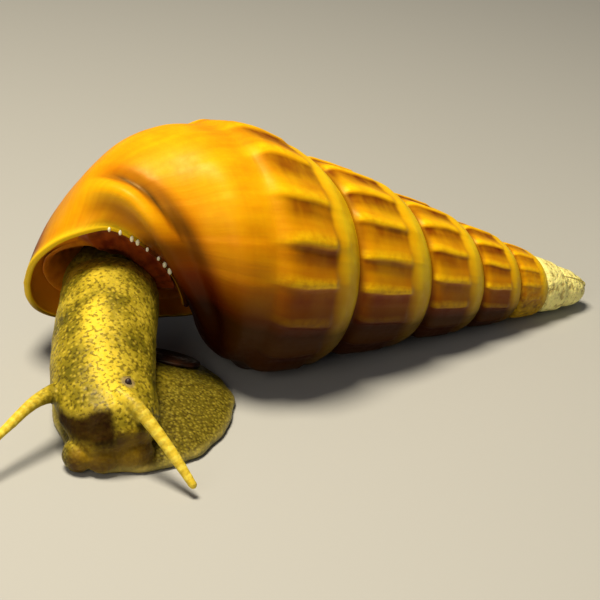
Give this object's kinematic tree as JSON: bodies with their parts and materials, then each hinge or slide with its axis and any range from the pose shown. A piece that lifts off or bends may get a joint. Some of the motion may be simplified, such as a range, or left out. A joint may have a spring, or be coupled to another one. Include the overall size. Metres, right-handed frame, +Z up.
{
  "type": "freshwater tower snail model",
  "caption": "Life-size still model of a Brotia herculea snail with a tall ribbed shell, the animal reaching out of its mouth.",
  "frame": {"origin": "middle of the foot's sole, on the floor", "axes": "+X along the shell towards its apex, -Y the way the head reaches, +Z up"},
  "size_m": [0.094, 0.0456, 0.0306],
  "materials": {
    "shell": "satin, ribbed",
    "mantle": "moist",
    "flesh": "moist, speckled",
    "tentacle": "moist, banded",
    "eye": "glossy",
    "operculum": "satin"
  },
  "bodies": {
    "root": {"shell_apex": "shell", "shell_spire_upper": "shell", "shell_spire_lower": "shell", "shell_body_whorl": "shell", "mantle": "mantle", "mantle_edge": "mantle", "neck": "flesh", "head": "flesh", "snout": "flesh", "foot": "flesh", "tentacle_left_base": "tentacle", "tentacle_left_tip": "tentacle", "tentacle_right_base": "tentacle", "tentacle_right_tip": "tentacle", "eye_left": "eye", "eye_right": "eye", "operculum": "operculum"}
  },
  "joints": []
}
